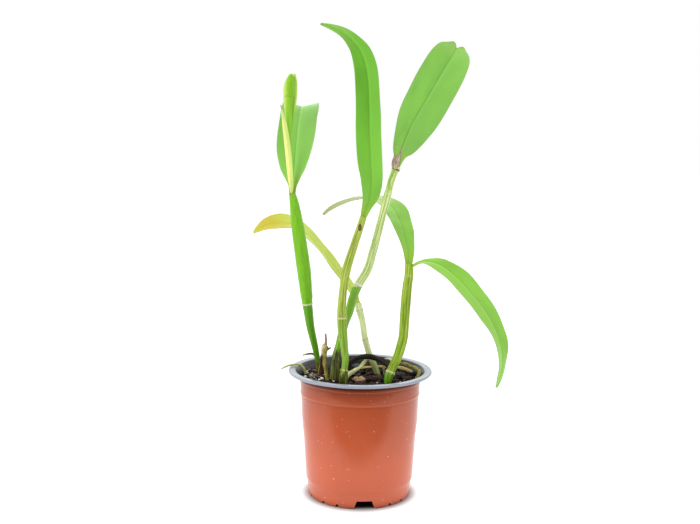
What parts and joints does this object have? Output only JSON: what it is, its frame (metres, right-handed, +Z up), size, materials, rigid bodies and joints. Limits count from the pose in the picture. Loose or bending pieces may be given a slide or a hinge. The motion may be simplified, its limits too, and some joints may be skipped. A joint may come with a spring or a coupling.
{
  "type": "potted cattleya orchid",
  "caption": "Potted cattleya orchid: slim upright pseudobulbs with leathery strap leaves and a budding flower sheath, standing in bark mix in a round plastic nursery pot.",
  "frame": {"origin": "on the pot's axis, on the surface that the pot stands on", "axes": "+Z up along the pot's axis, -Y towards the plant's front, +X to its right"},
  "size_m": [0.2126, 0.1371, 0.39],
  "materials": {
    "pot_plastic": "satin",
    "bark_mix": "matte",
    "old_rhizome": "matte",
    "young_bulb_skin": "satin",
    "olive_bulb_skin": "satin",
    "pale_bulb_skin": "satin",
    "leaf_green": "satin",
    "pale_leaf_green": "satin",
    "fresh_sheath": "satin",
    "bud_green": "satin",
    "dry_husk": "matte",
    "root_skin": "matte"
  },
  "bodies": {
    "root": {"bulb_budding": "young_bulb_skin", "bulb_front": "olive_bulb_skin", "bulb_middle": "pale_bulb_skin", "bulb_rear": "pale_bulb_skin", "bulb_two_leaved": "young_bulb_skin", "dried_sheath": "dry_husk", "flower_buds": "bud_green", "flower_sheath": "fresh_sheath", "leaf_of_budding_bulb": "leaf_green", "leaf_of_front_bulb": "leaf_green", "leaf_of_middle_bulb": "leaf_green", "leaf_of_rear_bulb": "pale_leaf_green", "leaf_of_two_leaved_bulb_rear": "leaf_green", "leaf_of_two_leaved_bulb_side": "leaf_green", "pot": "pot_plastic", "potting_mix": "bark_mix", "rhizome": "old_rhizome", "root_by_wall": "root_skin", "root_long": "root_skin", "root_olive_long": "root_skin", "root_olive_short": "root_skin", "root_over_rim": "root_skin", "root_pale": "root_skin", "root_tip_behind": "root_skin", "root_white": "root_skin", "spent_shoot": "dry_husk"}
  },
  "joints": []
}
